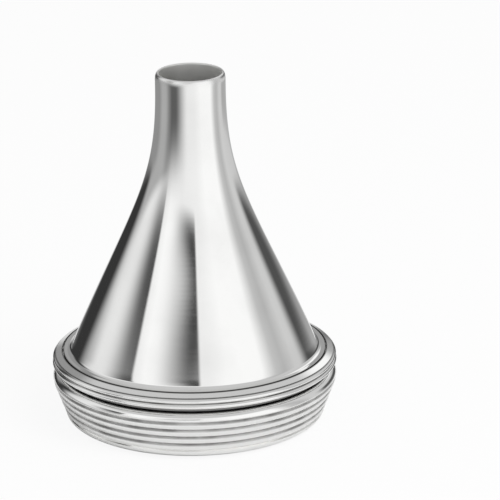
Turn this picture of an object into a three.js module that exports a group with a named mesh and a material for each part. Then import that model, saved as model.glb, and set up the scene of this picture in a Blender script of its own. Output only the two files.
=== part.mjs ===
import * as THREE from 'three';

// Ear speculum, in millimetres. A thin spun funnel is soldered into a mouth rim made of two turned,
// ribbed rings. +Z runs along the axis from the mouth to the ear tip, and z = 0 is the face that
// the mouth stands on.

// Whole instrument
const overallHeight = 40.2;
const solderFilm = 0.15;
const turnSteps = 64;

// Funnel shell: sheet metal, the same wall all over, with a narrow flat brim
const sheetWall = 0.45;
const tipRadius = 3.9;
const tipEdgeLength = 0.8;
const tipEdgeInnerRadius = 0.15;
const neckLength = 1.6;
const neckReach = 10.8;
const coneReach = 19.16;
const coneFootAngle = THREE.MathUtils.degToRad(23.6);
const coneFootRadius = 13.93;
const brimBendRadius = 0.6;
const brimWidth = 0.79;
const brimEdgeRound = 0.12;
const flareSteps = 14;

// Upper ring: the brim lies in its rebate, and under the bevel it has a short band of round beads
const brimClearance = 0.1;
const rebateDepth = 0.55;
const bevelWidth = 0.78;
const bevelHeight = 0.37;
const bevelGrooveDepth = 0.12;
const bevelGrooveHeight = 0.05;
const beadCount = 2;
const beadPitch = 0.6;
const beadDepth = 0.26;
const beadProud = 0.38;
const beadTaper = 0.1;
const beadSteps = 4;
const undercutDepth = 0.78;
const undercutWallHeight = 0.24;
const undercutSlopeHeight = 0.14;

// Lower ring: smooth shoulder, ribs on a taper, and a lip that turns in to the standing face
const shoulderInset = 0.08;
const shoulderWidth = 1;
const shoulderHeight = 1.07;
const shoulderStartAngle = THREE.MathUtils.degToRad(15);
const ribCount = 4;
const ribPitch = 0.945;
const ribDepth = 0.2;
const ribSteps = 4;
const ribTaper = 1.5;
const lipWidth = 2.6;
const lipHeight = 1.1;
const seatWidth = 0.8;
const mouthEdgeRadius = 0.15;
const lipInnerHeight = 1.5;
const reliefDepth = 2;
const reliefSlopeHeight = 0.9;
const spigotHeight = 0.9;
const spigotClearance = 0.3;

// Solder: each film stops this far short of the edges of the joint that it fills
const brimFilmRecess = 0.1;
const ringFilmRecess = 0.3;

// Facets in a tight corner and in a long round
const cornerSteps = 3;
const longSteps = 6;

// Heights of the stack, from the standing face up
const lowerRingHeight = lipHeight + ribCount * ribPitch + shoulderHeight;
const upperRingBottom = lowerRingHeight + solderFilm;
const beadBottom = upperRingBottom + undercutWallHeight + undercutSlopeHeight;
const beadTop = beadBottom + beadCount * beadPitch;
const bevelBottom = beadTop + bevelGrooveHeight;
const bevelTop = bevelBottom + bevelHeight;
const rebateFloor = bevelTop - rebateDepth;
const brimBottom = rebateFloor + solderFilm;
const brimTop = brimBottom + sheetWall;

// Radii that the pieces share
const bendReach = brimBendRadius * Math.tan((Math.PI / 2 - coneFootAngle) / 2);
const brimRadius = coneFootRadius + brimWidth;
const upperBoreRadius = coneFootRadius;
const rebateRadius = brimRadius + brimClearance;
const bevelFootRadius = rebateRadius + bevelWidth;
const rimRadius = bevelFootRadius + beadProud;
const shoulderRadius = rimRadius - shoulderInset;
const lowerTopRadius = shoulderRadius - shoulderWidth;
const lipRadius = shoulderRadius - ribTaper;
const seatOuterRadius = lipRadius - lipWidth;
const mouthRadius = seatOuterRadius - seatWidth;
const reliefRadius = mouthRadius + reliefDepth;
const spigotRadius = upperBoreRadius - spigotClearance;

// A point of a profile: distance from the axis, and height
const at = (radius, height) => new THREE.Vector2(radius, height);

// Points on a quarter or other stretch of an ellipse, both ends included
function arc(centre, halfWidth, halfHeight, fromAngle, toAngle, steps) {
  const points = [];
  for (let i = 0; i <= steps; i += 1) {
    const angle = fromAngle + ((toAngle - fromAngle) * i) / steps;
    points.push(at(centre.x + halfWidth * Math.cos(angle), centre.y + halfHeight * Math.sin(angle)));
  }
  return points;
}

// A closed profile, anticlockwise with the radius to the right, turned about +Z
function turned(name, profile, material) {
  const geometry = new THREE.LatheGeometry([...profile, profile[0]], turnSteps);
  geometry.rotateX(Math.PI / 2);
  const mesh = new THREE.Mesh(geometry, material);
  mesh.name = name;
  return mesh;
}

const platedFunnel = new THREE.MeshStandardMaterial({ color: 0xd9dadc, roughness: 0.14, metalness: 1 });
const platedRing = new THREE.MeshStandardMaterial({ color: 0xc9cacc, roughness: 0.22, metalness: 1 });
const softSolder = new THREE.MeshStandardMaterial({ color: 0x9c9fa2, roughness: 0.5, metalness: 1 });

// Side of the funnel from the brim's bend up to the neck, at a depth below the outer surface
function funnelSide(depth) {
  const neckEnd = at(tipRadius, overallHeight - neckLength);
  const foot = at(coneFootRadius, brimTop);
  const upCone = at(-Math.sin(coneFootAngle), Math.cos(coneFootAngle));
  const flare = new THREE.CubicBezierCurve(
    foot.clone().addScaledVector(upCone, bendReach),
    foot.clone().addScaledVector(upCone, coneReach),
    at(neckEnd.x, neckEnd.y - neckReach),
    neckEnd,
  );
  const points = [];
  for (let i = 0; i <= flareSteps; i += 1) {
    const along = flare.getTangent(i / flareSteps);
    points.push(flare.getPoint(i / flareSteps).addScaledVector(at(along.y, -along.x), -depth));
  }
  return points;
}

// Bend between the cone and the brim, from the brim up to the cone, at a depth below the surface
function brimBend(depth) {
  const centre = at(coneFootRadius + bendReach, brimTop + brimBendRadius);
  const radius = brimBendRadius + depth;
  return arc(centre, radius, radius, -Math.PI / 2, -Math.PI + coneFootAngle, cornerSteps);
}

// Edge of the ear tip: a long round outside and a small one inside
function tipEdge() {
  const edgeRadius = tipRadius - sheetWall + tipEdgeInnerRadius;
  const outer = at(edgeRadius, overallHeight - tipEdgeLength);
  const inner = at(edgeRadius, overallHeight - tipEdgeInnerRadius);
  return [
    ...arc(outer, tipRadius - edgeRadius, tipEdgeLength, 0, Math.PI / 2, longSteps),
    ...arc(inner, tipEdgeInnerRadius, tipEdgeInnerRadius, Math.PI / 2, Math.PI, cornerSteps).slice(1),
  ];
}

function makeFunnelShell() {
  const edge = at(brimRadius - brimEdgeRound, brimTop - brimEdgeRound);
  const outside = [...brimBend(0), ...funnelSide(0).slice(1)];
  const inside = [...brimBend(sheetWall), ...funnelSide(sheetWall).slice(1)].reverse();
  return turned('funnel_shell', [
    at(brimRadius, brimBottom),
    ...arc(edge, brimEdgeRound, brimEdgeRound, 0, Math.PI / 2, cornerSteps),
    ...outside,
    ...tipEdge(),
    ...inside,
  ], platedFunnel);
}

// Round beads or ribs going up from a height, each a half wave, on a straight or tapering band
function ribs(count, pitch, depth, steps, bottom, crestRadius) {
  const points = [];
  for (let i = 0; i < count * steps; i += 1) {
    const height = bottom + (pitch * i) / steps;
    const wave = Math.sin((Math.PI * (i % steps)) / steps);
    points.push(at(crestRadius(height) - depth * (1 - wave), height));
  }
  return points;
}

function makeUpperRing() {
  const undercutRadius = rimRadius - undercutDepth;
  const taper = (height) => rimRadius - (beadTaper * (height - beadBottom)) / (beadTop - beadBottom);
  return turned('upper_rim_ring', [
    at(upperBoreRadius, upperRingBottom),
    at(undercutRadius, upperRingBottom),
    at(undercutRadius, upperRingBottom + undercutWallHeight),
    ...ribs(beadCount, beadPitch, beadDepth, beadSteps, beadBottom, taper),
    at(taper(beadTop) - beadDepth, beadTop),
    at(bevelFootRadius - bevelGrooveDepth, beadTop),
    at(bevelFootRadius, bevelBottom),
    at(rebateRadius, bevelTop),
    at(rebateRadius, rebateFloor),
    at(upperBoreRadius, rebateFloor),
  ], platedRing);
}

function makeLowerRing() {
  const ribTop = lipHeight + ribCount * ribPitch;
  const taper = (height) => lipRadius + (ribTaper * (height - lipHeight)) / (ribCount * ribPitch);
  const mouthEdge = at(mouthRadius + mouthEdgeRadius, mouthEdgeRadius);
  const lip = at(seatOuterRadius, lipHeight);
  const shoulder = at(lowerTopRadius, ribTop);
  return turned('lower_rim_ring', [
    ...arc(mouthEdge, mouthEdgeRadius, mouthEdgeRadius, -Math.PI, -Math.PI / 2, cornerSteps),
    ...arc(lip, lipWidth, lipHeight, -Math.PI / 2, 0, longSteps),
    ...ribs(ribCount, ribPitch, ribDepth, ribSteps, lipHeight, taper),
    at(shoulderRadius - ribDepth, ribTop),
    ...arc(shoulder, shoulderWidth, shoulderHeight, shoulderStartAngle, Math.PI / 2, longSteps),
    at(spigotRadius, lowerRingHeight),
    at(spigotRadius, lowerRingHeight + spigotHeight),
    at(reliefRadius, lowerRingHeight + spigotHeight),
    at(reliefRadius, lipInnerHeight + reliefSlopeHeight),
    at(mouthRadius, lipInnerHeight),
  ], platedRing);
}

// Flat solder film between two faces
function solderSeam(name, bottom, innerRadius, outerRadius) {
  return turned(name, [
    at(innerRadius, bottom),
    at(outerRadius, bottom),
    at(outerRadius, bottom + solderFilm),
    at(innerRadius, bottom + solderFilm),
  ], softSolder);
}

const speculum = new THREE.Group();
speculum.add(
  makeFunnelShell(),
  makeUpperRing(),
  makeLowerRing(),
  solderSeam(
    'brim_solder_seam',
    rebateFloor,
    upperBoreRadius + brimFilmRecess,
    brimRadius - brimFilmRecess,
  ),
  solderSeam('ring_solder_seam', lowerRingHeight, upperBoreRadius, lowerTopRadius - ringFilmRecess),
);

export default speculum;
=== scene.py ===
"""Ear speculum: a spun, nickel-plated funnel soldered into a mouth rim of two turned, ribbed rings.

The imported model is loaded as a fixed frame, and each piece is turned again here in finer steps.
"""

import math

import bpy
from mathutils import Matrix, Vector


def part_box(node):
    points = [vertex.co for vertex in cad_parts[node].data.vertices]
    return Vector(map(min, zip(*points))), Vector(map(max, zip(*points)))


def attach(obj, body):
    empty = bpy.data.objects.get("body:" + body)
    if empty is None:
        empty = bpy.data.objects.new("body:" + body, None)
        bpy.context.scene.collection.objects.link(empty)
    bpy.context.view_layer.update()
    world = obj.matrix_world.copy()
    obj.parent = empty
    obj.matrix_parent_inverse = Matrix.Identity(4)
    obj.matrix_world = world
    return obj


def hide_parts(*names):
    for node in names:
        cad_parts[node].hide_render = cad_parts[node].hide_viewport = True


bl_info = {
    "name": "Ear speculum",
    "version": (1, 1, 0),
    "blender": (4, 5, 0),
    "location": "3D View > Sidebar > Speculum",
    "description": "Turns the pieces of an ear speculum and sets them in a white studio",
    "category": "Object",
}

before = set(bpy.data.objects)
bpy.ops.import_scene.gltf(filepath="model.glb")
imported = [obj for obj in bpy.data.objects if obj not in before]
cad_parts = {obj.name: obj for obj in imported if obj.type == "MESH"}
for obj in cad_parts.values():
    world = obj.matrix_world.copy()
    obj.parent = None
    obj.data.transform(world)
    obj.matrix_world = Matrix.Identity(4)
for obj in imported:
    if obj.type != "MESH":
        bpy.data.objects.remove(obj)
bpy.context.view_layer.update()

MM = 0.001
QUARTER = math.pi / 2

# Heights and radii that the frame fixes
FUNNEL_LOW, FUNNEL_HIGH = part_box("funnel_shell")
UPPER_LOW, UPPER_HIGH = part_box("upper_rim_ring")
LOWER_LOW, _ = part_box("lower_rim_ring")
BRIM_SEAM_LOW, BRIM_SEAM_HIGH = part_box("brim_solder_seam")
RING_SEAM_LOW, RING_SEAM_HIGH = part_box("ring_solder_seam")


def length(name, text, millimetres):
    """A size that a user can change, stored in metres."""
    return bpy.props.FloatProperty(
        name=name, description=text, default=millimetres * MM, min=0, precision=5, unit="LENGTH"
    )


def angle(name, text, degrees):
    """An angle that a user can change, stored in radians."""
    return bpy.props.FloatProperty(
        name=name, description=text, default=math.radians(degrees), subtype="ANGLE"
    )


def linear(hex_code):
    """The linear red, green and blue of an sRGB hex value such as "d8d8d6"."""
    channels = [int(hex_code[i:i + 2], 16) / 255 for i in (0, 2, 4)]
    return tuple(c / 12.92 if c <= 0.04045 else ((c + 0.055) / 1.055) ** 2.4 for c in channels)


def colour(name, text, hex_code):
    """A colour that a user can change, given as an sRGB hex value."""
    return bpy.props.FloatVectorProperty(
        name=name, description=text, default=linear(hex_code), size=3, min=0, max=1, subtype="COLOR"
    )


class FunnelSizes(bpy.types.PropertyGroup):
    """Sizes of the spun funnel."""

    wall: length("Sheet wall", "Thickness of the spun sheet", 0.45)
    tip_radius: length("Tip radius", "Outer radius of the neck at the ear tip", 3.9)
    tip_edge_length: length("Tip edge length", "Length of the long round outside the ear tip", 0.8)
    tip_edge_inner: length("Inner edge radius", "Radius of the small round inside the ear tip", 0.15)
    neck_length: length("Neck length", "Straight length under the ear tip", 1.6)
    neck_reach: length("Neck reach", "Pull of the neck on the flare curve", 10.8)
    cone_reach: length("Cone reach", "Pull of the cone on the flare curve", 19.16)
    foot_radius: length("Foot radius", "Radius where the cone meets the brim", 13.93)
    foot_angle: angle("Foot angle", "Slope of the cone at its foot, from the axis", 23.6)
    bend_radius: length("Brim bend radius", "Outside radius of the bend into the brim", 0.6)
    brim_round: length("Brim edge round", "Round on the brim's upper edge", 0.12)


class RimSizes(bpy.types.PropertyGroup):
    """Sizes of the two turned rings."""

    brim_gap: length("Brim gap", "Gap between the brim and the rebate that it lies in", 0.1)
    rebate_depth: length("Rebate depth", "Depth of the rebate under the bevel's top edge", 0.55)
    bevel_width: length("Bevel width", "Width of the bevel outside the brim", 0.78)
    bevel_height: length("Bevel height", "Height of the bevel outside the brim", 0.37)
    bevel_groove: length("Bevel groove", "Depth of the groove turned under the bevel", 0.12)
    groove_height: length("Groove height", "Height of the groove turned under the bevel", 0.05)
    bead_count: bpy.props.IntProperty(
        name="Beads", description="Beads on the upper ring", default=2, min=1
    )
    bead_pitch: length("Bead pitch", "Height of one bead of the upper ring", 0.6)
    bead_depth: length("Bead depth", "Depth of the grooves between the upper ring's beads", 0.26)
    bead_taper: length("Bead taper", "How far the beads draw in from bottom to top", 0.1)
    undercut: length("Undercut", "Depth of the undercut below the beads", 0.78)
    undercut_wall: length("Undercut wall", "Height of the undercut's upright wall", 0.24)
    shoulder_width: length("Shoulder width", "Width of the smooth shoulder's round", 1)
    shoulder_height: length("Shoulder height", "Height of the smooth shoulder's round", 1.07)
    shoulder_inset: length("Shoulder inset", "How far the shoulder stays inside the widest bead", 0)
    shoulder_start: angle("Shoulder start", "Where the shoulder's round begins, from the level", 15)
    rib_count: bpy.props.IntProperty(
        name="Ribs", description="Ribs on the lower ring", default=4, min=1
    )
    rib_pitch: length("Rib pitch", "Height of one rib of the lower ring", 0.945)
    rib_depth: length("Rib depth", "Depth of the grooves between the lower ring's ribs", 0.2)
    rib_taper: length("Rib taper", "How far the ribs draw in from top to bottom", 1.41)
    lip_width: length("Lip width", "Width of the lip's round under the ribs", 2.745)
    lip_height: length("Lip height", "Height of the lip's round under the ribs", 1.1)
    seat_width: length("Seat width", "Width of the face that the mouth stands on", 0.8)
    mouth_edge: length("Mouth edge radius", "Small round at the mouth's inner edge", 0.15)
    lip_inner: length("Lip inner height", "Height of the lip's inner wall", 1.5)
    relief_depth: length("Relief depth", "Depth of the relief turned above the lip", 2)
    relief_slope: length("Relief slope", "Height of the slope from the lip to the relief", 0.9)
    spigot_height: length("Spigot height", "How far the lower ring reaches into the upper one", 0.9)
    spigot_gap: length("Spigot gap", "Gap between the spigot and the upper ring's bore", 0.3)
    edge_wear: length("Edge wear", "Round that buffing leaves on every turned edge", 0.03)


class FinishColours(bpy.types.PropertyGroup):
    """Colours of the plated and soldered surfaces."""

    plate: colour("Nickel plate", "Bright polished nickel plate", "f9f9f8")
    inside: colour("Inside plate", "Nickel plate inside the funnel, never buffed", "f3f3f1")
    # Tarnish: the random cloudy film on the plate, and also painted shade in the grooves between the
    # beads and ribs
    tarnish_and_painted_shade: colour("Tarnish", "Grey film left where the buff doesn't reach", "8a8988")
    # Grime: dark lumps in the solder, and painted shade, with dried polish, in the joints and deepest
    # corners
    grime_and_painted_shade: colour("Grime", "Dark polish and dirt packed into the deepest corners", "3a3938")
    solder: colour("Soft solder", "Dull tin and lead solder", "9b9da0")


class StudioSettings(bpy.types.PropertyGroup):
    """Camera, floor and light."""

    view_distance: length("View distance", "From the lens to the object", 480)
    view_height: length("Aim height", "Height on the axis that the camera is measured to", 17.6)
    view_elevation: angle("Elevation", "Camera angle above the horizon", 18.97)
    view_roll: angle("Roll", "Lean of the picture", -0.92)
    table_radius: length("Table radius", "Round paper table that the metal mirrors", 45)
    floor_radius: length("Floor radius", "Wide paper floor round the table", 3000)
    paper: colour("Paper", "White paper under the object", "f0f0f0")
    softbox_power: bpy.props.FloatProperty(
        name="Softbox power", description="Power of the soft lamp over the object",
        default=1.7, unit="POWER",
    )


# Shaping by hand: an outline is drawn vertex by vertex and spun round the axis

# Steps round the axis, and along the curves of the outlines
TURN_STEPS = 256
FLARE_STEPS = 72
BEND_STEPS = 10
TIP_EDGE_STEPS = 16
RIB_STEPS = 12
SHOULDER_STEPS = 20
LIP_STEPS = 24
SMALL_EDGE_STEPS = 8
SEAM_EDGE_STEPS = 6

MERGE_DISTANCE = MM / 1000
SHARP_ANGLE = math.radians(40)


def arc(centre, half_width, half_height, start, end, steps):
    """Places on a stretch of an ellipse, both ends included."""
    angles = [start + (end - start) * i / steps for i in range(steps + 1)]
    return [
        (centre[0] + half_width * math.cos(a), centre[1] + half_height * math.sin(a)) for a in angles
    ]


def turn(name, outline):
    """Extrudes one vertex along a closed outline of (radius, height) and spins it round the axis."""
    bpy.ops.object.select_all(action="DESELECT")
    bpy.ops.mesh.primitive_plane_add(size=MM, location=(outline[0][0], 0, outline[0][1]))
    piece = bpy.context.object
    piece.name = name
    piece.data.name = name
    bpy.ops.object.transform_apply(location=True, rotation=True, scale=True)
    bpy.ops.object.mode_set(mode="EDIT")
    bpy.ops.mesh.merge(type="CENTER")
    for here, there in zip(outline, outline[1:] + outline[:1]):
        step = (there[0] - here[0], 0, there[1] - here[1])
        bpy.ops.mesh.extrude_region_move(TRANSFORM_OT_translate={"value": step})
    bpy.ops.mesh.select_all(action="SELECT")
    bpy.ops.mesh.remove_doubles(threshold=MERGE_DISTANCE)
    bpy.ops.mesh.spin(steps=TURN_STEPS, angle=math.tau, center=(0, 0, 0), axis=(0, 0, 1))
    bpy.ops.mesh.select_all(action="SELECT")
    bpy.ops.mesh.remove_doubles(threshold=MERGE_DISTANCE)
    bpy.ops.mesh.normals_make_consistent(inside=False)
    bpy.ops.object.mode_set(mode="OBJECT")
    bpy.ops.object.shade_smooth_by_angle(angle=SHARP_ANGLE)
    return piece


def round_edges(piece, width):
    """Rounds every turned edge a little, as buffing does."""
    bpy.ops.object.select_all(action="DESELECT")
    piece.select_set(True)
    bpy.context.view_layer.objects.active = piece
    bpy.ops.object.modifier_add(type="BEVEL")
    bevel = piece.modifiers[-1]
    bevel.width = width
    bevel.segments = 2
    bevel.limit_method = "ANGLE"
    bevel.angle_limit = SHARP_ANGLE
    bevel.use_clamp_overlap = True
    bpy.ops.object.modifier_apply(modifier=bevel.name)
    bpy.ops.object.shade_smooth_by_angle(angle=SHARP_ANGLE)


def finish_piece(piece, node, slot, *materials):
    """Puts a piece in the place of its node of the frame, with its finish."""
    piece.data.materials.clear()
    for material in materials:
        piece.data.materials.append(material)
    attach(piece, "root")
    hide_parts(node)


# Finishes

def add_node(tree, kind, inputs=None, **settings):
    """Adds a node, sets its properties, and sets or links its inputs."""
    node = tree.nodes.new(kind)
    for key, value in settings.items():
        setattr(node, key, value)
    for key, value in (inputs or {}).items():
        if isinstance(value, bpy.types.NodeSocket):
            tree.links.new(value, node.inputs[key])
        else:
            node.inputs[key].default_value = value
    return node


# Sockets of a Mix node whose data is a colour
FACTOR, FIRST, SECOND, MIXED = 0, 6, 7, 2


def new_material(name):
    """An empty node material and its node tree."""
    material = bpy.data.materials.new(name)
    material.use_nodes = True
    material.node_tree.nodes.clear()
    return material, material.node_tree


def near_corners(tree, place, corners):
    """How close a point of a turned piece lies to its corners, from 0 to 1. Each corner is a ring
    round the axis: its radius, its height, how far its mark reaches, and how strong the mark is,
    which is the same over the inner quarter of its reach and fades out from there. Where the
    colour follows this mark it is painted shade in joints, grooves and corners; where only the
    roughness follows it, it is wear."""
    flat = add_node(tree, "ShaderNodeVectorMath", {0: place, 1: (1, 1, 0)}, operation="MULTIPLY")
    radius = add_node(tree, "ShaderNodeVectorMath", {0: flat.outputs[0]}, operation="LENGTH")
    split = add_node(tree, "ShaderNodeSeparateXYZ", {0: place})
    section = add_node(
        tree, "ShaderNodeCombineXYZ", {"X": radius.outputs["Value"], "Y": split.outputs["Z"]}
    )
    nearest = 0.0
    for ring_radius, height, reach, amount in corners:
        ring = (ring_radius, height, 0)
        away = add_node(
            tree, "ShaderNodeVectorMath", {0: section.outputs[0], 1: ring}, operation="DISTANCE"
        )
        # The mark of one ring: painted shade where it darkens the colour, wear where it only adds
        # roughness
        film = add_node(
            tree, "ShaderNodeMapRange",
            {
                "Value": away.outputs["Value"],
                "From Min": reach, "From Max": reach / 4, "To Min": 0.0, "To Max": amount,
            },
            interpolation_type="SMOOTHSTEP",
        )
        most = add_node(tree, "ShaderNodeMath", {0: film.outputs[0], 1: nearest}, operation="MAXIMUM")
        nearest = most.outputs[0]
    return nearest


# How much full painted shade with dried polish in the corners, and full wear, add to the polish's
# roughness
CORNER_ROUGHNESS = 0.4
WEAR_ROUGHNESS = 0.22


def polished_nickel_plate(colours, corners, worn_edges):
    """Nickel plate on spun brass, buffed bright: a near mirror with the faintest rings of the
    spinning tool, a slightly cloudy film, a dark line of painted shade and dried polish in the
    joint, and edges that use and boiling have left less bright."""
    material, tree = new_material("polished_nickel_plate")
    place = add_node(tree, "ShaderNodeTexCoord").outputs["Object"]
    clouds = add_node(
        tree, "ShaderNodeTexNoise", {"Vector": place, "Scale": 1 / (7 * MM), "Detail": 3.0}
    )
    cloudy = add_node(
        tree, "ShaderNodeMapRange",
        {"Value": clouds.outputs[0], "From Min": 0.45, "From Max": 0.75, "To Max": 0.1},
    )
    toned = add_node(
        tree, "ShaderNodeMix",
        {FACTOR: cloudy.outputs[0], FIRST: (*colours.plate, 1), SECOND: (*colours.tarnish_and_painted_shade, 1)},
        data_type="RGBA",
    )
    # Dark colour in the joint at the brim: painted shade, with dried polish
    packed_and_shaded = near_corners(tree, place, corners)
    coloured = add_node(
        tree, "ShaderNodeMix",
        {FACTOR: packed_and_shaded, FIRST: toned.outputs[MIXED], SECOND: (*colours.grime_and_painted_shade, 1)},
        data_type="RGBA",
    )
    # Buffing strokes run round the axis, 2.5 mm long and about 0.2 mm wide
    drawn_out = add_node(tree, "ShaderNodeMapping", {"Vector": place, "Scale": (1, 1, 14)})
    buffing = add_node(
        tree, "ShaderNodeTexNoise",
        {"Vector": drawn_out.outputs[0], "Scale": 1 / (2.5 * MM), "Detail": 4.0},
    )
    gloss = add_node(
        tree, "ShaderNodeMapRange",
        {
            "Value": buffing.outputs[0],
            "From Min": 0.3, "From Max": 0.7, "To Min": 0.045, "To Max": 0.075,
        },
    )
    dulled = add_node(
        tree, "ShaderNodeMath",
        {0: packed_and_shaded, 1: CORNER_ROUGHNESS, 2: gloss.outputs[0]}, operation="MULTIPLY_ADD",
    )
    worn = near_corners(tree, place, worn_edges)
    rough = add_node(
        tree, "ShaderNodeMath",
        {0: worn, 1: WEAR_ROUGHNESS, 2: dulled.outputs[0]}, operation="MULTIPLY_ADD",
    )
    # The spinning tool moves up half a millimetre a turn and leaves waves far finer than a hair
    tool_step = 0.5 * MM
    height = add_node(tree, "ShaderNodeSeparateXYZ", {0: place}).outputs["Z"]
    turns = add_node(
        tree, "ShaderNodeMath", {0: height, 1: math.tau / tool_step}, operation="MULTIPLY"
    )
    waves = add_node(tree, "ShaderNodeMath", {0: turns.outputs[0]}, operation="SINE")
    spun = add_node(
        tree, "ShaderNodeBump", {"Height": waves.outputs[0], "Distance": 0.00004 * MM, "Strength": 1.0}
    )
    shader = add_node(
        tree, "ShaderNodeBsdfPrincipled",
        {
            "Base Color": coloured.outputs[MIXED],
            "Metallic": 1.0,
            "Roughness": rough.outputs[0],
            "Normal": spun.outputs[0],
        },
    )
    add_node(tree, "ShaderNodeOutputMaterial", {"Surface": shader.outputs[0]})
    return material


def satin_nickel_plate(colours):
    """Nickel plate inside the funnel, left as it was spun and plated, because no buff reaches
    there: a soft grey sheen with the rings of the spinning tool and a darker, uneven film."""
    material, tree = new_material("satin_nickel_plate")
    place = add_node(tree, "ShaderNodeTexCoord").outputs["Object"]
    clouds = add_node(
        tree, "ShaderNodeTexNoise", {"Vector": place, "Scale": 1 / (4 * MM), "Detail": 4.0}
    )
    cloudy = add_node(
        tree, "ShaderNodeMapRange",
        {"Value": clouds.outputs[0], "From Min": 0.35, "From Max": 0.7, "To Max": 0.2},
    )
    toned = add_node(
        tree, "ShaderNodeMix",
        {FACTOR: cloudy.outputs[0], FIRST: (*colours.inside, 1), SECOND: (*colours.tarnish_and_painted_shade, 1)},
        data_type="RGBA",
    )
    sheen = add_node(
        tree, "ShaderNodeMapRange",
        {
            "Value": clouds.outputs[0],
            "From Min": 0.3, "From Max": 0.7, "To Min": 0.42, "To Max": 0.58,
        },
    )
    # Tool rings drawn out round the axis, 3 mm long and 0.15 mm wide
    drawn_out = add_node(tree, "ShaderNodeMapping", {"Vector": place, "Scale": (1, 1, 20)})
    rings = add_node(
        tree, "ShaderNodeTexNoise",
        {"Vector": drawn_out.outputs[0], "Scale": 1 / (3 * MM), "Detail": 3.0},
    )
    spun = add_node(
        tree, "ShaderNodeBump", {"Height": rings.outputs[0], "Distance": 0.01 * MM, "Strength": 1.0}
    )
    shader = add_node(
        tree, "ShaderNodeBsdfPrincipled",
        {
            "Base Color": toned.outputs[MIXED],
            "Metallic": 1.0,
            "Roughness": sheen.outputs[0],
            "Normal": spun.outputs[0],
        },
    )
    add_node(tree, "ShaderNodeOutputMaterial", {"Surface": shader.outputs[0]})
    return material


def turned_nickel_plate(name, colours, grooves, corners):
    """Nickel plate on a turned brass ring: crests buffed bright with fine turning marks, painted
    shade with a grey film in the grooves between the ribs, and painted shade with dark dried
    polish in the deepest corners."""
    material, tree = new_material(name)
    place = add_node(tree, "ShaderNodeTexCoord").outputs["Object"]
    clouds = add_node(
        tree, "ShaderNodeTexNoise", {"Vector": place, "Scale": 1 / (3 * MM), "Detail": 3.0}
    )
    patches = add_node(
        tree, "ShaderNodeMapRange",
        {
            "Value": clouds.outputs[0],
            "From Min": 0.35, "From Max": 0.65, "To Min": 0.6, "To Max": 1.0,
        },
    )
    # Grey colour in the grooves between beads or ribs, in random patches: painted shade, with a film
    # of tarnish
    film = add_node(
        tree, "ShaderNodeMath",
        {0: near_corners(tree, place, grooves), 1: patches.outputs[0]}, operation="MULTIPLY",
    )
    toned = add_node(
        tree, "ShaderNodeMix",
        {FACTOR: film.outputs[0], FIRST: (*colours.plate, 1), SECOND: (*colours.tarnish_and_painted_shade, 1)},
        data_type="RGBA",
    )
    # Dark colour in the deepest corners: painted shade, with dried polish
    packed_and_shaded = near_corners(tree, place, corners)
    coloured = add_node(
        tree, "ShaderNodeMix",
        {FACTOR: packed_and_shaded, FIRST: toned.outputs[MIXED], SECOND: (*colours.grime_and_painted_shade, 1)},
        data_type="RGBA",
    )
    dull = add_node(tree, "ShaderNodeMath", {0: film.outputs[0], 1: packed_and_shaded}, operation="MAXIMUM")
    rough = add_node(
        tree, "ShaderNodeMapRange", {"Value": dull.outputs[0], "To Min": 0.1, "To Max": 0.4}
    )
    # Turning marks round the axis, 1.2 mm long and 0.1 mm wide
    drawn_out = add_node(tree, "ShaderNodeMapping", {"Vector": place, "Scale": (1, 1, 12)})
    marks = add_node(
        tree, "ShaderNodeTexNoise",
        {"Vector": drawn_out.outputs[0], "Scale": 1 / (1.2 * MM), "Detail": 3.0},
    )
    turned = add_node(
        tree, "ShaderNodeBump", {"Height": marks.outputs[0], "Distance": 0.0012 * MM, "Strength": 1.0}
    )
    shader = add_node(
        tree, "ShaderNodeBsdfPrincipled",
        {
            "Base Color": coloured.outputs[MIXED],
            "Metallic": 1.0,
            "Roughness": rough.outputs[0],
            "Normal": turned.outputs[0],
        },
    )
    add_node(tree, "ShaderNodeOutputMaterial", {"Surface": shader.outputs[0]})
    return material


def soft_solder(colours):
    """Tin and lead solder that ran into the seams and was left as it cooled: dull and a little
    lumpy."""
    material, tree = new_material("soft_solder")
    place = add_node(tree, "ShaderNodeTexCoord").outputs["Object"]
    lumps = add_node(
        tree, "ShaderNodeTexNoise", {"Vector": place, "Scale": 1 / (0.6 * MM), "Detail": 3.0}
    )
    crust = add_node(
        tree, "ShaderNodeMapRange", {"Value": lumps.outputs[0], "From Min": 0.4, "From Max": 0.7}
    )
    coloured = add_node(
        tree, "ShaderNodeMix",
        {FACTOR: crust.outputs[0], FIRST: (*colours.solder, 1), SECOND: (*colours.grime_and_painted_shade, 1)},
        data_type="RGBA",
    )
    rough = add_node(
        tree, "ShaderNodeMapRange",
        {
            "Value": lumps.outputs[0],
            "From Min": 0.3, "From Max": 0.7, "To Min": 0.4, "To Max": 0.6,
        },
    )
    lumpy = add_node(
        tree, "ShaderNodeBump", {"Height": lumps.outputs[0], "Distance": 0.02 * MM, "Strength": 1.0}
    )
    shader = add_node(
        tree, "ShaderNodeBsdfPrincipled",
        {
            "Base Color": coloured.outputs[MIXED],
            "Metallic": 1.0,
            "Roughness": rough.outputs[0],
            "Normal": lumpy.outputs[0],
        },
    )
    add_node(tree, "ShaderNodeOutputMaterial", {"Surface": shader.outputs[0]})
    return material


def brim_joint():
    """The corner between the brim and the bevel round it, where polish has dried and shade is painted
    dark.
    """
    gap = bpy.context.scene.speculum_rim.brim_gap
    reach = 2.2 * gap
    return (FUNNEL_HIGH.x + gap / 2, UPPER_HIGH.z, reach, 1.0)


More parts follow.
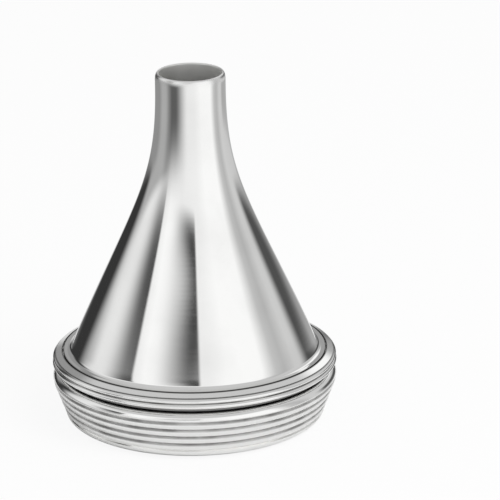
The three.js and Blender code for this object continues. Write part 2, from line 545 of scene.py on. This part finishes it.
class SPECULUM_OT_funnel_shell(bpy.types.Operator):
    """Turn the thin funnel with its ear tip, neck, flare, cone and brim"""

    bl_idname = "speculum.funnel_shell"
    bl_label = "Funnel shell"

    def execute(self, context):
        sizes = context.scene.speculum_funnel
        brim_radius = FUNNEL_HIGH.x
        brim_bottom = FUNNEL_LOW.z
        brim_top = brim_bottom + sizes.wall
        tip_top = FUNNEL_HIGH.z
        bend_reach = sizes.bend_radius * math.tan((QUARTER - sizes.foot_angle) / 2)

        def side(depth):
            """The cone, flare and neck, from the bend up, at a depth below the outer surface."""
            foot = Vector((sizes.foot_radius, brim_top))
            up_cone = Vector((-math.sin(sizes.foot_angle), math.cos(sizes.foot_angle)))
            neck = Vector((sizes.tip_radius, tip_top - sizes.neck_length))
            a = foot + up_cone * bend_reach
            b = foot + up_cone * sizes.cone_reach
            c = neck - Vector((0, sizes.neck_reach))
            places = []
            for i in range(FLARE_STEPS + 1):
                t = i / FLARE_STEPS
                u = 1 - t
                place = a * u ** 3 + b * (3 * u * u * t) + c * (3 * u * t * t) + neck * t ** 3
                along = ((b - a) * u * u + (c - b) * (2 * u * t) + (neck - c) * t * t).normalized()
                places.append(tuple(place - Vector((along.y, -along.x)) * depth))
            return places

        def bend(depth):
            """The bend between cone and brim, from the brim up, at a depth below the surface."""
            radius = sizes.bend_radius + depth
            centre = (sizes.foot_radius + bend_reach, brim_top + sizes.bend_radius)
            return arc(centre, radius, radius, -QUARTER, -math.pi + sizes.foot_angle, BEND_STEPS)

        inner = sizes.tip_edge_inner
        edge_radius = sizes.tip_radius - sizes.wall + inner
        brim_edge = (brim_radius - sizes.brim_round, brim_top - sizes.brim_round)
        outer_edge = (edge_radius, tip_top - sizes.tip_edge_length)
        outer_width = sizes.tip_radius - edge_radius
        inner_edge = (edge_radius, tip_top - inner)
        outline = [(brim_radius, brim_bottom)]
        outline += arc(brim_edge, sizes.brim_round, sizes.brim_round, 0, QUARTER, SMALL_EDGE_STEPS)
        outline += bend(0) + side(0)[1:]
        outline += arc(outer_edge, outer_width, sizes.tip_edge_length, 0, QUARTER, TIP_EDGE_STEPS)
        outline += arc(inner_edge, inner, inner, QUARTER, math.pi, SMALL_EDGE_STEPS)[1:]
        outline += list(reversed(bend(sizes.wall) + side(sizes.wall)[1:]))
        piece = turn("funnel", outline)
        colours = context.scene.speculum_finish
        # The joint at the brim gets painted shade with dried polish; the ear tip's edge only gets wear
        # in its roughness
        tip_edge = (edge_radius, tip_top, 1.1 * MM, 1.0)
        outside = polished_nickel_plate(colours, [brim_joint()], [tip_edge])
        finish_piece(piece, "funnel_shell", "polished_nickel", outside, satin_nickel_plate(colours))

        # The faces that look towards the axis get the satin finish
        facing_limit = -0.2
        bpy.ops.object.mode_set(mode="EDIT")
        bpy.ops.mesh.select_all(action="DESELECT")
        bpy.ops.object.mode_set(mode="OBJECT")
        for face in piece.data.polygons:
            outwards = Vector((face.center.x, face.center.y, 0)).normalized()
            face.select = face.normal.dot(outwards) < facing_limit
        bpy.ops.object.mode_set(mode="EDIT")
        piece.active_material_index = 1
        bpy.ops.object.material_slot_assign()
        bpy.ops.object.mode_set(mode="OBJECT")
        return {"FINISHED"}


def ribs(count, pitch, depth, low, crest):
    """Half-round ribs going up from a height, with sharp grooves between them."""
    places = []
    for i in range(count * RIB_STEPS):
        height = low + pitch * i / RIB_STEPS
        wave = math.sin(math.pi * (i % RIB_STEPS) / RIB_STEPS)
        places.append((crest(height) - depth * (1 - wave), height))
    return places


class SPECULUM_OT_upper_rim_ring(bpy.types.Operator):
    """Turn the short ring round the brim, with its rebate, bevel, beads and undercut"""

    bl_idname = "speculum.upper_rim_ring"
    bl_label = "Upper rim ring"

    def execute(self, context):
        sizes = context.scene.speculum_rim
        low = UPPER_LOW.z
        bevel_top = UPPER_HIGH.z
        rim = UPPER_HIGH.x
        bore = context.scene.speculum_funnel.foot_radius
        rebate = FUNNEL_HIGH.x + sizes.brim_gap
        bevel_foot = rebate + sizes.bevel_width
        bevel_bottom = bevel_top - sizes.bevel_height
        bead_top = bevel_bottom - sizes.groove_height
        bead_low = bead_top - sizes.bead_count * sizes.bead_pitch
        undercut = rim - sizes.undercut

        def crest(height):
            """Radius of the beads' crests at a height."""
            return rim - sizes.bead_taper * (height - bead_low) / (bead_top - bead_low)

        outline = [(bore, low), (undercut, low), (undercut, low + sizes.undercut_wall)]
        outline += ribs(sizes.bead_count, sizes.bead_pitch, sizes.bead_depth, bead_low, crest)
        outline += [
            (crest(bead_top) - sizes.bead_depth, bead_top),
            (bevel_foot - sizes.bevel_groove, bead_top),
            (bevel_foot, bevel_bottom),
            (rebate, bevel_top),
            (rebate, bevel_top - sizes.rebate_depth),
            (bore, bevel_top - sizes.rebate_depth),
        ]
        piece = turn("upper_ring", outline)
        round_edges(piece, sizes.edge_wear)
        # Painted shade with a grey film in the grooves between the beads; painted shade with dried
        # polish in the joint at the brim, in the groove under the bevel and in the undercut
        heights = [bead_low + sizes.bead_pitch * i for i in range(sizes.bead_count)]
        grooves = [(crest(z) - sizes.bead_depth, z, 0.22 * MM, 1.0) for z in heights]
        corners = [
            brim_joint(),
            (bevel_foot, bead_top, 0.14 * MM, 0.7),
            (undercut, low, 0.55 * MM, 0.8),
        ]
        colours = context.scene.speculum_finish
        material = turned_nickel_plate("turned_nickel_plate_beads", colours, grooves, corners)
        finish_piece(piece, "upper_rim_ring", "turned_nickel", material)
        return {"FINISHED"}


class SPECULUM_OT_lower_rim_ring(bpy.types.Operator):
    """Turn the taller ribbed ring that the mouth stands on"""

    bl_idname = "speculum.lower_rim_ring"
    bl_label = "Lower rim ring"

    def execute(self, context):
        sizes = context.scene.speculum_rim
        shoulder_radius = UPPER_HIGH.x - sizes.shoulder_inset
        rib_low = LOWER_LOW.z + sizes.lip_height
        rib_high = rib_low + sizes.rib_count * sizes.rib_pitch
        top = rib_high + sizes.shoulder_height
        lip_radius = shoulder_radius - sizes.rib_taper
        seat_outer = lip_radius - sizes.lip_width
        mouth = seat_outer - sizes.seat_width
        relief = mouth + sizes.relief_depth
        spigot = context.scene.speculum_funnel.foot_radius - sizes.spigot_gap
        shoulder = (shoulder_radius - sizes.shoulder_width, rib_high)
        edge = sizes.mouth_edge

        def crest(height):
            """Radius of the ribs' crests at a height."""
            return lip_radius + sizes.rib_taper * (height - rib_low) / (rib_high - rib_low)

        lip = (seat_outer, rib_low)
        outline = arc((mouth + edge, edge), edge, edge, -math.pi, -QUARTER, SMALL_EDGE_STEPS)
        outline += arc(lip, sizes.lip_width, sizes.lip_height, -QUARTER, 0, LIP_STEPS)
        outline += ribs(sizes.rib_count, sizes.rib_pitch, sizes.rib_depth, rib_low, crest)
        outline.append((shoulder_radius - sizes.rib_depth, rib_high))
        outline += arc(
            shoulder, sizes.shoulder_width, sizes.shoulder_height,
            sizes.shoulder_start, QUARTER, SHOULDER_STEPS,
        )
        outline += [
            (spigot, top),
            (spigot, top + sizes.spigot_height),
            (relief, top + sizes.spigot_height),
            (relief, sizes.lip_inner + sizes.relief_slope),
            (mouth, sizes.lip_inner),
        ]
        piece = turn("lower_ring", outline)
        round_edges(piece, sizes.edge_wear)
        # Painted shade with a grey film in the grooves between the ribs; painted shade with dried
        # polish in the corner at the ring's top, where it meets the upper ring
        heights = [rib_low + sizes.rib_pitch * (i + 1) for i in range(sizes.rib_count)]
        grooves = [(crest(z) - sizes.rib_depth, z, 0.34 * MM, 1.0) for z in heights]
        corners = [(shoulder[0], top, 0.45 * MM, 0.8)]
        colours = context.scene.speculum_finish
        material = turned_nickel_plate("turned_nickel_plate_ribs", colours, grooves, corners)
        finish_piece(piece, "lower_rim_ring", "turned_nickel", material)
        return {"FINISHED"}


class SPECULUM_OT_solder_seams(bpy.types.Operator):
    """Turn the two films of solder that hold the brim and the rings together"""

    bl_idname = "speculum.solder_seams"
    bl_label = "Solder seams"

    def execute(self, context):
        bore = context.scene.speculum_funnel.foot_radius
        recess = 0.1 * MM
        material = soft_solder(context.scene.speculum_finish)
        seams = {
            "brim_solder_seam": (BRIM_SEAM_LOW, BRIM_SEAM_HIGH, bore + recess),
            "ring_solder_seam": (RING_SEAM_LOW, RING_SEAM_HIGH, bore),
        }
        for node, (low, high, inner) in seams.items():
            half = (high.z - low.z) / 2
            edge = (high.x - half, low.z + half)
            outline = [(inner, low.z)]
            outline += arc(edge, half, half, -QUARTER, QUARTER, SEAM_EDGE_STEPS)
            outline.append((inner, high.z))
            piece = turn(node.replace("_seam", ""), outline)
            finish_piece(piece, node, "soft_solder", material)
        return {"FINISHED"}


# Cards round the object, as the polished metal sees them, the later over the earlier. Azimuths are
# in degrees from the camera, to the right, and heights in degrees above the horizon. Each card
# fades in from the first to the second of its azimuths or heights, and out from the third to the
# fourth. A card that leans has these heights in its middle, and rises by its lean for each degree
# to the right.
CARDS = (
    {"azimuths": (-201, -200, -76, -56), "heights": (-91, -90, 3, 10), "shade": "aeaeae"},
    {"azimuths": (-201, -200, -122, -100), "heights": (-91, -90, -8, 2), "shade": "929292"},
    {"azimuths": (114, 126, 148, 160), "heights": (-91, -90, -16, -11), "shade": "acacac"},
    {"azimuths": (-44, 0, 2.5, 6.5), "heights": (20, 27, 27.6, 32), "shade": "464646", "lean": 0.1},
    {"azimuths": (-100, -70, -64, -60), "heights": (4, 25, 28, 36), "shade": "444444"},
    {"azimuths": (-90, -62, -50, -8), "heights": (-91, -90, -14, 23), "shade": "606060"},
    {
        "azimuths": (-170, -162, -134, -118), "heights": (-11, -6, 24, 38), "shade": "363636",
        "lean": 0.23,
    },
    {
        "azimuths": (112, 128, 166, 174), "heights": (-8.5, -2, 6, 14), "shade": "505050",
        "lean": -0.27,
    },
    {"azimuths": (-176, -170, -150, -138), "heights": (3, 10, 36, 46), "shade": "949494"},
    {"azimuths": (143, 152, 166, 173), "heights": (15, 24, 36, 46), "shade": "ffffff"},
    {"azimuths": (-201, -200, -171, -163), "heights": (-91, -90, 6, 14), "shade": "dcdcdc"},
    {"azimuths": (160, 171, 200, 201), "heights": (-91, -90, -10, -4), "shade": "d0d0d0"},
)

# Paper walls behind the cards: azimuth and shade
PAPER_WALLS = (
    (-180, "a0a0a0"),
    (-165, "a8a8a8"),
    (-140, "d0d0d0"),
    (-122, "d8d8d8"),
    (-105, "eaeaea"),
    (-70, "ebebeb"),
    (-50, "ffffff"),
    (-25, "f0f0f0"),
    (12, "f4f4f4"),
    (32, "ffffff"),
    (67, "ffffff"),
    (82, "c4c4c4"),
    (92, "b8b8b8"),
    (106, "d0d0d0"),
    (150, "c8c8c8"),
    (165, "a0a0a0"),
    (180, "a0a0a0"),
)

# The walls fade into the ceiling between these heights
CEILING_SHADE = "cacaca"
CEILING_HEIGHTS = (38, 50)

# Strength of the plain white light that the world gives what doesn't mirror it
PLAIN_STRENGTH = 0.65


def studio_world():
    """White to the camera, soft white light on everything, and paper walls with dark cards in the
    metal's reflections."""
    world = bpy.data.worlds.new("studio_world")
    world.use_nodes = True
    tree = world.node_tree
    tree.nodes.clear()
    towards = add_node(tree, "ShaderNodeTexCoord").outputs["Generated"]
    split = add_node(tree, "ShaderNodeSeparateXYZ", {0: towards}).outputs
    nearer = add_node(tree, "ShaderNodeMath", {0: split["Y"], 1: -1.0}, operation="MULTIPLY")
    round_axis = add_node(
        tree, "ShaderNodeMath", {0: split["X"], 1: nearer.outputs[0]}, operation="ARCTAN2"
    )
    to_right = add_node(tree, "ShaderNodeMath", {0: round_axis.outputs[0]}, operation="DEGREES")
    above = add_node(tree, "ShaderNodeMath", {0: split["Z"]}, operation="ARCSINE")
    upwards = add_node(tree, "ShaderNodeMath", {0: above.outputs[0]}, operation="DEGREES")
    azimuth, height = to_right.outputs[0], upwards.outputs[0]

    place = add_node(
        tree, "ShaderNodeMapRange", {"Value": azimuth, "From Min": -180, "From Max": 180}
    )
    ramp = add_node(tree, "ShaderNodeValToRGB", {"Fac": place.outputs[0]})
    stops = ramp.color_ramp.elements
    stops.remove(stops[1])
    for i, (degrees, shade) in enumerate(PAPER_WALLS):
        at = (degrees + 180) / 360
        stop = stops[0] if i == 0 else stops.new(at)
        stop.position = at
        stop.color = (*linear(shade), 1)
    up = add_node(
        tree, "ShaderNodeMapRange",
        {"Value": height, "From Min": CEILING_HEIGHTS[0], "From Max": CEILING_HEIGHTS[1]},
        interpolation_type="SMOOTHSTEP",
    )
    room = add_node(
        tree, "ShaderNodeMix",
        {FACTOR: up.outputs[0], FIRST: ramp.outputs["Color"], SECOND: (*linear(CEILING_SHADE), 1)},
        data_type="RGBA",
    )
    seen = room.outputs[MIXED]

    for card in CARDS:
        lean = card.get("lean", 0)
        middle = (card["azimuths"][0] + card["azimuths"][3]) / 2
        drop = add_node(
            tree, "ShaderNodeMath", {0: azimuth, 1: -lean, 2: lean * middle}, operation="MULTIPLY_ADD"
        )
        level = add_node(tree, "ShaderNodeMath", {0: height, 1: drop.outputs[0]}, operation="ADD")
        amount = 1.0
        for value, edges in ((azimuth, card["azimuths"]), (level.outputs[0], card["heights"])):
            for start, end in ((edges[0], edges[1]), (edges[3], edges[2])):
                fade = add_node(
                    tree, "ShaderNodeMapRange",
                    {"Value": value, "From Min": start, "From Max": end},
                    interpolation_type="SMOOTHSTEP",
                )
                share = add_node(
                    tree, "ShaderNodeMath", {0: fade.outputs[0], 1: amount}, operation="MULTIPLY"
                )
                amount = share.outputs[0]
        mixed = add_node(
            tree, "ShaderNodeMix",
            {FACTOR: amount, FIRST: seen, SECOND: (*linear(card["shade"]), 1)},
            data_type="RGBA",
        )
        seen = mixed.outputs[MIXED]

    white = add_node(tree, "ShaderNodeBackground", {"Color": (1, 1, 1, 1), "Strength": 1.0})
    plain = add_node(
        tree, "ShaderNodeBackground", {"Color": (1, 1, 1, 1), "Strength": PLAIN_STRENGTH}
    )
    mirrored = add_node(tree, "ShaderNodeBackground", {"Color": seen, "Strength": 1.0})
    path = add_node(tree, "ShaderNodeLightPath")
    on_object = add_node(
        tree, "ShaderNodeMixShader",
        {0: path.outputs["Is Glossy Ray"], 1: plain.outputs[0], 2: mirrored.outputs[0]},
    )
    chosen = add_node(
        tree, "ShaderNodeMixShader",
        {0: path.outputs["Is Camera Ray"], 1: on_object.outputs[0], 2: white.outputs[0]},
    )
    add_node(tree, "ShaderNodeOutputWorld", {"Surface": chosen.outputs[0]})
    bpy.context.scene.world = world


# Share of plain white in the paper that the camera sees; the rest is lit, and takes the shadow
PAPER_WHITE = 0.9


def white_paper(studio):
    """Matte white paper. The camera sees it mostly as plain white, with the object's soft shadow."""
    material, tree = new_material("white_paper")
    matte = add_node(tree, "ShaderNodeBsdfDiffuse", {"Color": (*studio.paper, 1)})
    white = add_node(tree, "ShaderNodeEmission", {"Color": (1, 1, 1, 1), "Strength": 1.0})
    seen = add_node(tree, "ShaderNodeLightPath").outputs["Is Camera Ray"]
    amount = add_node(tree, "ShaderNodeMath", {0: seen, 1: PAPER_WHITE}, operation="MULTIPLY")
    paper = add_node(
        tree, "ShaderNodeMixShader", {0: amount.outputs[0], 1: matte.outputs[0], 2: white.outputs[0]}
    )
    add_node(tree, "ShaderNodeOutputMaterial", {"Surface": paper.outputs[0]})
    return material


def add_floor(studio):
    """A small round table that the metal mirrors, in a wide floor that only the camera sees."""
    material = white_paper(studio)
    bpy.ops.object.select_all(action="DESELECT")
    bpy.ops.mesh.primitive_circle_add(vertices=128, radius=studio.table_radius, fill_type="NGON")
    table = bpy.context.object
    table.name = "paper_table"
    bpy.ops.object.select_all(action="DESELECT")
    bpy.ops.mesh.primitive_circle_add(vertices=128, radius=studio.table_radius, fill_type="NOTHING")
    floor = bpy.context.object
    floor.name = "paper_floor"
    bpy.ops.object.mode_set(mode="EDIT")
    bpy.ops.mesh.extrude_region_move()
    spread = studio.floor_radius / studio.table_radius
    bpy.ops.transform.resize(value=(spread, spread, 1))
    bpy.ops.mesh.select_all(action="SELECT")
    bpy.ops.mesh.normals_make_consistent(inside=False)
    bpy.ops.object.mode_set(mode="OBJECT")
    floor.visible_glossy = False
    for piece in (table, floor):
        piece.data.materials.append(material)


SOFTBOX_PLACE = (0.3, -0.3, 0.4)
SOFTBOX_WIDTH = 0.4


def add_softbox(studio):
    """One soft lamp above and to the right, for the shadow; the metal doesn't mirror it."""
    bpy.ops.object.light_add(type="AREA", location=SOFTBOX_PLACE)
    lamp = bpy.context.object
    lamp.name = "softbox"
    lamp.data.shape = "DISK"
    lamp.data.size = SOFTBOX_WIDTH
    lamp.data.energy = studio.softbox_power
    lamp.rotation_mode = "QUATERNION"
    lamp.rotation_quaternion = (-lamp.location).to_track_quat("-Z", "Y")
    lamp.visible_glossy = False


# The axis's aim point in the picture, in pixels of a frame of 500, and the lens in such pixels
FRAME_SIDE = 500
AIM_PIXEL = (193.2, 266.4)
LENS_PIXELS = 4303
SENSOR_WIDTH = 36


def add_camera(studio):
    """A long lens above the horizon, turned so that the aim point falls left of the middle."""
    elevation = studio.view_elevation
    aim = Vector((0, 0, studio.view_height))
    back = Vector((0, -math.cos(elevation), math.sin(elevation)))
    up = Vector((0, math.sin(elevation), math.cos(elevation)))
    right = Vector((1, 0, 0))
    roll = Matrix.Rotation(-studio.view_roll, 3, -back)
    right, up = roll @ right, roll @ up
    to_right = FRAME_SIDE / 2 - AIM_PIXEL[0]
    to_down = FRAME_SIDE / 2 - AIM_PIXEL[1]
    towards = (right * to_right - up * to_down - back * LENS_PIXELS).normalized()
    side = towards.cross(up).normalized()
    top = side.cross(towards)
    bpy.ops.object.camera_add()
    camera = bpy.context.object
    camera.name = "camera"
    camera.matrix_world = Matrix.Translation(aim + back * studio.view_distance) @ Matrix(
        (side, top, -towards)
    ).transposed().to_4x4()
    camera.data.sensor_width = SENSOR_WIDTH
    camera.data.lens = LENS_PIXELS / FRAME_SIDE * SENSOR_WIDTH
    camera.data.clip_start = 0.01
    camera.data.clip_end = 20
    bpy.context.scene.camera = camera


class SPECULUM_OT_studio(bpy.types.Operator):
    """Set up the white studio: camera, paper floor, lamp and world"""

    bl_idname = "speculum.studio"
    bl_label = "Studio"

    def execute(self, context):
        studio = context.scene.speculum_studio
        context.scene.view_settings.view_transform = "Standard"
        studio_world()
        add_floor(studio)
        add_softbox(studio)
        add_camera(studio)
        return {"FINISHED"}


class SPECULUM_PT_panel(bpy.types.Panel):
    """Sizes, colours and steps of the ear speculum"""

    bl_idname = "SPECULUM_PT_panel"
    bl_label = "Ear speculum"
    bl_space_type = "VIEW_3D"
    bl_region_type = "UI"
    bl_category = "Speculum"

    def draw(self, context):
        for group_name in GROUPS:
            box = self.layout.box()
            group = getattr(context.scene, group_name)
            for key in group.__annotations__:
                box.prop(group, key)
        for step in STEPS:
            self.layout.operator(step.bl_idname)


STEPS = (
    SPECULUM_OT_funnel_shell,
    SPECULUM_OT_upper_rim_ring,
    SPECULUM_OT_lower_rim_ring,
    SPECULUM_OT_solder_seams,
    SPECULUM_OT_studio,
)
GROUPS = {
    "speculum_funnel": FunnelSizes,
    "speculum_rim": RimSizes,
    "speculum_finish": FinishColours,
    "speculum_studio": StudioSettings,
}
CLASSES = (*GROUPS.values(), *STEPS, SPECULUM_PT_panel)


def register():
    for cls in CLASSES:
        bpy.utils.register_class(cls)
    for name, group in GROUPS.items():
        setattr(bpy.types.Scene, name, bpy.props.PointerProperty(type=group))


def unregister():
    for name in GROUPS:
        delattr(bpy.types.Scene, name)
    for cls in reversed(CLASSES):
        bpy.utils.unregister_class(cls)


def main():
    register()
    bpy.ops.speculum.funnel_shell()
    bpy.ops.speculum.upper_rim_ring()
    bpy.ops.speculum.lower_rim_ring()
    bpy.ops.speculum.solder_seams()
    bpy.ops.speculum.studio()


if __name__ == "__main__":
    main()
